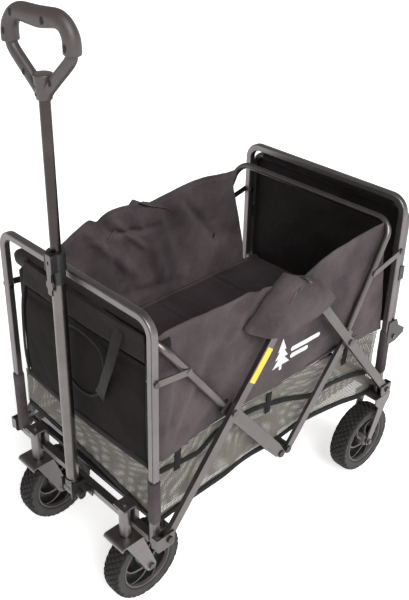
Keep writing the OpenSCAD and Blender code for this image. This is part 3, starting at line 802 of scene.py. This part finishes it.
path = [point(x, ROLL_Y, ROLL_Z + 6 + 1.6 * wobble(x, 0, 0, 120, 7)) for x in range(-206, 207, 6)]
roll = sweep("front_roll_cloth", path, roll_section, ROLL_CLOTH, up=Vector((0, 0, 1)))
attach(roll, "front_arch")
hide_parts("front_roll")


def front_left_edge(z):
    """X of the front panel's left edge, bowed outwards and leaning in at the top."""
    return curve_value([(384, -186), (403, -188), (442, -194), (557, -189), (654, -164), (697, -147)], z)


def front_place(u, v):
    z = mix(386, 684, v)
    x = mix(front_left_edge(z), 208, u)
    y = 10 - 6 * math.sin(math.pi * u) * math.sin(math.pi * v) ** 0.7
    y -= 5 * smooth(0.75, 1, v)
    y += 2.2 * wobble(x, z, 0, 90, 12) + 0.8 * wobble(x, z, 0, 34, 2)
    return point(x, y, z)


panel = sheet_grid("front_panel_cloth", 90, 60, front_place, RIBBED_MESH_AND_SHADE, 2.0)
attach(panel, "front_frame")
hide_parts("front_panel")


def band_place(u, v):
    z = mix(624, 686, v)
    x = mix(front_left_edge(z) - 2, 209, u)
    y = 0.5 - 5 * math.sin(math.pi * u) - 3.0 * smooth(0.5, 1, v) + 1.6 * wobble(x, z, 0, 60, 15)
    y += 2.5 * (1 - smooth(0.0, 0.12, v))
    return point(x, y, z)


band = sheet_grid("front_band_cloth", 90, 16, band_place, BAND_CLOTH_PAINTED_SHADE, 2.2)
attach(band, "front_frame")


def pocket_place(u, v):
    z = mix(394, 616, v)
    x = mix(front_left_edge(z) + 14, 204, u)
    bulge = math.sin(math.pi * u) ** 0.5 * math.sin(math.pi * min(v * 0.9 + 0.1, 1)) ** 0.6
    y = 5 - 9 * bulge + 2.0 * wobble(x, z, 0, 60, 22)
    y += 2.5 * math.exp(-((z - 604 - 10 * wobble(x, 0, 0, 90, 3)) / 8) ** 2)
    return point(x, y, z)


pocket = sheet_grid("front_pocket_cloth", 90, 50, pocket_place, RIBBED_MESH_AND_SHADE, 1.8)
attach(pocket, "front_frame")

strap_path = spline([point(142, -4, 668), point(141, -12, 642), point(139, -20, 614), point(134, -23, 590),
                     point(121, -22, 561), point(107, -18, 532), point(97, -14, 514), point(88, -11, 500),
                     point(83, -9, 490)], 6)
strap = sweep("pull_strap", strap_path, tape_section(lambda t: 27 - 6 * math.sin(math.pi * t), 2.2), WEBBING,
              up=Vector((0, -1, 0)))
bevel(strap, 0.6, 2)
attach(strap, "front_frame")


def tape(name, points, width, up, body="front_frame", squash=False, material=BINDING, thick=1.8):
    piece = sweep(name, spline([point(*p) for p in points], 6), tape_section(width, thick), material, up=Vector(up))
    bevel(piece, 0.5, 2)
    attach(piece, body)
    if squash:
        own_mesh(piece)
    return piece


tape("front_lower_binding", [(-187, 5, 394), (-70, 0, 390), (66, -1, 389), (208, 3, 391)], 15, (0, -1, 0))
tape("front_left_binding", [(front_left_edge(z), 4, z) for z in (690, 654, 606, 557, 500, 442, 388)], 9, (0, -1, 0))
tape("pocket_mouth", [(-14, -5, 604), (20, -7, 610), (56, -8, 608), (88, -8, 596), (100, -9, 565), (99, -9, 528),
                      (80, -9, 494), (52, -8, 472), (16, -7, 466), (-18, -6, 474)], 6, (0, -1, 0))
tape("front_right_binding", [(208, 5, 684), (208, 3, 500), (208, 5, 388)], 9, (0, -1, 0))


# ---- sleeves on the legs ----

def leg_sleeve(name, x, low, high, y=0.0):
    n = 28
    verts = []
    rows = 16
    for k in range(rows + 1):
        z = mix(low, high, k / rows)
        for i in range(n):
            a = 2 * math.pi * i / n
            c, s = math.cos(a), math.sin(a)
            grow = 1 / max(abs(c), abs(s)) ** 0.55
            r = (11.0 + 0.5 * wobble(c * 20, s * 20, z, 30, x)) * grow * (0.95 if k in (0, rows) else 1)
            verts.append(point(x + r * c, y + r * s * 0.97, z))
    obj = new_mesh(name, verts, tube_faces(n, rows + 1), CLOTH)
    return thicken(obj, 1.2, -1)


LEG_X = middle("front_foot_brackets", 0) + (HALF_W + 8.5)
parts = [leg_sleeve("sleeve", LEG_X, 267, 369), leg_sleeve("sleeve", -LEG_X, 215, 371)]
sleeves = join("front_leg_sleeve_cloth", parts)
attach(sleeves, "front_frame")
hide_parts("front_leg_sleeves")
parts = [leg_sleeve("sleeve", s * LEG_X, 269, 384, GAP) for s in (-1, 1)]
rear_sleeves = join("rear_leg_sleeve_cloth", parts)
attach(rear_sleeves, "rear_frame")


# ---- flaps over the top hubs ----

def flap(name, side):
    """Reinforcing cap over the top hub: sewn down along its two upper edges, open below for the arms."""
    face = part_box("top_hubs")[1][0] / MM
    arm_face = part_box("front_arms")[1][0] / MM
    outline = [(240, 594), (300, 640), (357, 672), (420, 634), (474, 590), (453, 574), (424, 567), (377, 565),
               (350, 559), (306, 567), (268, 581)]
    centre = (360, 612)
    rings = 16
    steps = 10
    dense, skirt = [], []
    for k in range(len(outline)):
        a, b = outline[k], outline[(k + 1) % len(outline)]
        for i in range(steps):
            t = i / steps
            dense.append((mix(a[0], b[0], t), mix(a[1], b[1], t)))
            if k < 2:
                rise = smooth(0, 2, k + t)
                skirt.append((-10 * mix(0.3, 1, rise), 9 * mix(0.4, 1, rise), SIDE_X + 3))
            elif k < 4:
                fall = smooth(0, 2, k - 2 + t)
                skirt.append((mix(-10, 10, smooth(0, 0.6, fall)), mix(9, 7, fall), SIDE_X + 3))
            else:
                skirt.append((0, -1.5, None))
    verts, faces = [], []

    def lift(y, z):
        over = math.exp(-((y - HUB_Y) / 62) ** 2 - ((z - HUB_TOP_Z) / 58) ** 2)
        x = mix(arm_face + 3.5, face + 2.5, min(1, 1.25 * over))
        left = ((y - 236) * 88 - (z - 596) * 121) / math.hypot(88, 121)
        x -= 24 * (1 - smooth(0, 44, left)) * smooth(680, 624, z)
        return x + 1.0 * wobble(y, z, 0, 34, 6)

    verts.append(point(side * lift(*centre), *centre))
    for r in range(1, rings + 1):
        t = r / rings
        for y, z in dense:
            yy, zz = mix(centre[0], y, t), mix(centre[1], z, t)
            verts.append(point(side * (lift(yy, zz) - (0.9 if r == rings - 1 else 0)), yy, zz))
    for r in (1, 2, 3):
        for (y, z), (dy, dz, low) in zip(dense, skirt):
            t = r / 3
            x = lift(y, z)
            drop = x if low is None else mix(x, low, t ** 1.4)
            verts.append(point(side * (drop - 0.6 * t), y + dy * t ** 0.7, z + dz * math.sin(math.pi * t * 0.55)))
    n = len(dense)
    for i in range(n):
        faces.append((0, 1 + i, 1 + (i + 1) % n))
    for r in range(rings + 2):
        for i in range(n):
            a = 1 + r * n + i
            b = 1 + r * n + (i + 1) % n
            faces.append((a, a + n, b + n, b))
    uvs = [((v.y * 0.8 + v.z * 0.6), (v.z * 0.8 - v.y * 0.6)) for v in verts]
    obj = new_mesh(name, verts, faces, CLOTH, uvs)
    obj["area"] = sum(p.area for p in obj.data.polygons)
    return thicken(obj, 1.6)


for s, name in ((1, "right_flap_cloth"), (-1, "left_flap_cloth")):
    piece = flap(name, s)
    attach(piece, "top_hubs")
    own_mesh(piece)
    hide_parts("side_flaps")


# ---- basket ----

def net_side(name, side):
    top = [(20, 368), (135, 356), (182, 378), (280, 378), (400, 346), (480, 314), (550, 312), (627, 296), (715, 268)]
    low = [(20, 240), (91, 246), (219, 250), (262, 258), (357, 252), (451, 256), (590, 234), (676, 212), (720, 210)]

    def place(u, v):
        y = mix(12, 716, u)
        z = mix(curve_value(low, y), curve_value(NEAR_BOTTOM, y) - 3, v)
        x = SIDE_X - 1 + 3 * wobble(y, z, 0, 70, 5 + side) - 4 * math.sin(math.pi * v)
        return point(side * x, y, z)

    obj = sheet_grid(name, 140, 14, place, NET, 0.5)
    for key, line, width in (("top", top, 13), ("low", low, 14)):
        pts = [(side * (SIDE_X + 0.5), y, curve_value(line, y)) for y in range(14, 717, 39)]
        tape(f"{name}_{key}_binding", pts, width, (1, 0, 0), squash=True)
    return obj


for s, name in ((1, "basket_net_right"), (-1, "basket_net_left")):
    piece = net_side(name, s)
    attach(piece, "front_frame")
    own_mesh(piece)
    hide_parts("basket")
    tuple(round(f, 3) for f in piece["flat"])


def end_net(name, y0, body, low):
    def place(u, v):
        x = mix(-SIDE_X + 2, SIDE_X - 2, u)
        z = mix(low(x), 386, v)
        return point(x, y0 + 4 * math.sin(math.pi * u) * math.sin(math.pi * v) + 2 * wobble(x, z, 0, 60, 2), z)
    obj = sheet_grid(name, 90, 24, place, NET, 0.5)
    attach(obj, body)
    pts = [(x, y0 - 1.5, low(x)) for x in range(-208, 209, 26)]
    tape(f"{name}_binding", pts, 14, (0, -1, 0), body)
    return obj


end_net("front_net_cloth", 11, "front_frame",
        lambda x: curve_value([(-208, 300), (-183, 298), (0, 283), (200, 253), (209, 252)], x))
rear_net = end_net("rear_net_cloth", 700, "rear_frame", lambda x: 262)
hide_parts("rear_net")
tape("basket_front_bar", [(-207, 14, 252), (-60, 14, 252), (60, 14, 252), (207, 14, 252)], 13, (0, 0, 1),
     material=BLACK_PLASTIC_AND_WEB_SHADE, thick=9)


def basket_floor_place(u, v):
    x = mix(-206, 206, u)
    y = mix(14, 716, v)
    z = 252 + 2 * wobble(x, y, 0, 90, 3) + 8 * (abs(x) / 206) ** 4
    return point(x, y, z)


basket_floor = sheet_grid("basket_floor_net", 60, 100, basket_floor_place, NET, 0.5)
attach(basket_floor, "front_frame")
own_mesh(basket_floor)

for s, name in ((1, "right"), (-1, "left")):
    rod_path = spline([point(s * 207, 30, 240), point(s * 207, 110, 243), point(s * 207, 214, 248),
                       point(s * 207, 236, 256), point(s * 207, 252, 272), point(s * 207, 300, 276)], 6)
    rod = sweep(f"basket_stay_{name}", rod_path, ring_section(4, 14), FRAME_METAL)
    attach(rod, "front_frame")
    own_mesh(rod)
    for k, y in enumerate((70, 330, 590)):
        tape(f"basket_tab_{name}_{k}", [(s * (SIDE_X + 1), y, 345), (s * (SIDE_X + 1), y + 3, 396)], 16,
             (1, 0, 0), squash=True)


# ---- marks ----

def decal(name, outline, x, material, body, squash=False):
    verts = [point(x, y, z) for y, z in outline]
    obj = new_mesh(name, verts, [tuple(range(len(verts)))], material, smooth_shade=False)
    thicken(obj, 0.4, 1)
    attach(obj, body)
    if squash:
        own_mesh(obj)
    return obj


near_tree = BVHTree.FromPolygons([tuple(v.co) for v in near.data.vertices],
                                 [tuple(p.vertices) for p in near.data.polygons])


def side_print(name, rows, columns=10):
    """Printed shape on the right side: rows are (z, first y, last y), laid on the cloth's folds."""
    verts = []
    for z, y0, y1 in rows:
        for k in range(columns + 1):
            start = point(SIDE_X + 60, mix(y0, y1, k / columns), z)
            hit = near_tree.ray_cast(start, Vector((-1, 0, 0)))[0]
            verts.append(hit + Vector((1.1 * MM, 0, 0)))
    n = columns + 1
    faces = [(r * n + k, r * n + k + 1, (r + 1) * n + k + 1, (r + 1) * n + k)
             for r in range(len(rows) - 1) for k in range(columns)]
    obj = new_mesh(name, verts, faces, PRINT)
    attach(obj, "front_frame")
    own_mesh(obj)


for k, (z0, z1, half) in enumerate(((490, 520, 13), (472, 500, 20), (453, 481, 27))):
    side_print(f"tree_mark_{k}", [(mix(z0, z1, r / 8), 362 - half * (1 - r / 8) - 0.4, 362 + half * (1 - r / 8) + 0.4)
                                  for r in range(9)])
side_print("tree_mark_trunk", [(441 + 1.8 * r, 358, 366) for r in range(8)], 3)
for k, (low, y0, y1) in enumerate(((474, 392, 482), (456, 392, 446))):
    side_print(f"bar_mark_{k}", [(low + 1.5 * r, y0 + 5 - math.sqrt(max(36 - (1.5 * r - 6)**2, 0.1)),
                                  y1 - 5 + math.sqrt(max(36 - (1.5 * r - 6)**2, 0.1))) for r in range(9)], 14)

tape("corner_loop", [(SIDE_X + 3, 40, 664), (SIDE_X + 5, 41, 652), (SIDE_X + 3, 42, 638)], 20, (1, 0, 0), squash=True)

ARM_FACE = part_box("front_arms")[1][0] / MM
decal("arm_label", [(278, 555), (292, 544), (243, 484), (229, 495)], ARM_FACE + 0.2, LABEL, "front_arms")

# ---- stage, lights and camera ----

floor_mat, _, _, floor_shader = node_tree("floor")
floor_shader.inputs["Base Color"].default_value = (0.93, 0.93, 0.93, 1)
floor_shader.inputs["Roughness"].default_value = 0.9
floor_shader.inputs["Emission Color"].default_value = (1, 1, 1, 1)
floor_shader.inputs["Emission Strength"].default_value = 0.62
size = 60.0
ground = new_mesh("floor", [Vector((-size, -size, 0)), Vector((size, -size, 0)), Vector((size, size, 0)),
                            Vector((-size, size, 0))], [(0, 1, 2, 3)], floor_mat, smooth_shade=False)

world = bpy.data.worlds.new("studio")
bpy.context.scene.world = world
world.use_nodes = True
sky_nodes, sky_links = world.node_tree.nodes, world.node_tree.links
sky_where = sky_nodes.new("ShaderNodeTexCoord")
sky_height = sky_nodes.new("ShaderNodeSeparateXYZ")
sky_links.new(sky_where.outputs["Generated"], sky_height.inputs["Vector"])
sky = ramp(sky_nodes, sky_links, sky_height.outputs["Z"], (0.7, 0.69, 0.69), (0.24, 0.23, 0.23), 0.02, 0.5)
sky_links.new(sky.outputs["Color"], sky_nodes["Background"].inputs["Color"])
sky_nodes["Background"].inputs["Strength"].default_value = 1.0

sun_data = bpy.data.lights.new("sun", "SUN")
sun_data.energy = 3.0
sun_data.angle = math.radians(40)
sun = bpy.data.objects.new("sun", sun_data)
bpy.context.scene.collection.objects.link(sun)
sun.rotation_euler = Vector((-1, 0.25, -0.95)).to_track_quat("-Z", "Y").to_euler()
bpy.context.scene.view_settings.view_transform = "Standard"

camera_data = bpy.data.cameras.new("camera")
camera = bpy.data.objects.new("camera", camera_data)
bpy.context.scene.collection.objects.link(camera)
look = Vector((-0.64275, 0.58686, -0.49241)).normalized()
right = Vector((0.67298, 0.73966, 0.00307)).normalized()
up = right.cross(look).normalized()
right = look.cross(up).normalized()
camera.matrix_world = Matrix.Translation(point(1131.8, -776.5, 1490.0)) @ Matrix(
    (right, up, -look)).transposed().to_4x4()
camera_data.sensor_width = 36
camera_data.lens = 50.95
camera_data.shift_x = 0.051
camera_data.shift_y = -0.045
bpy.context.scene.camera = camera
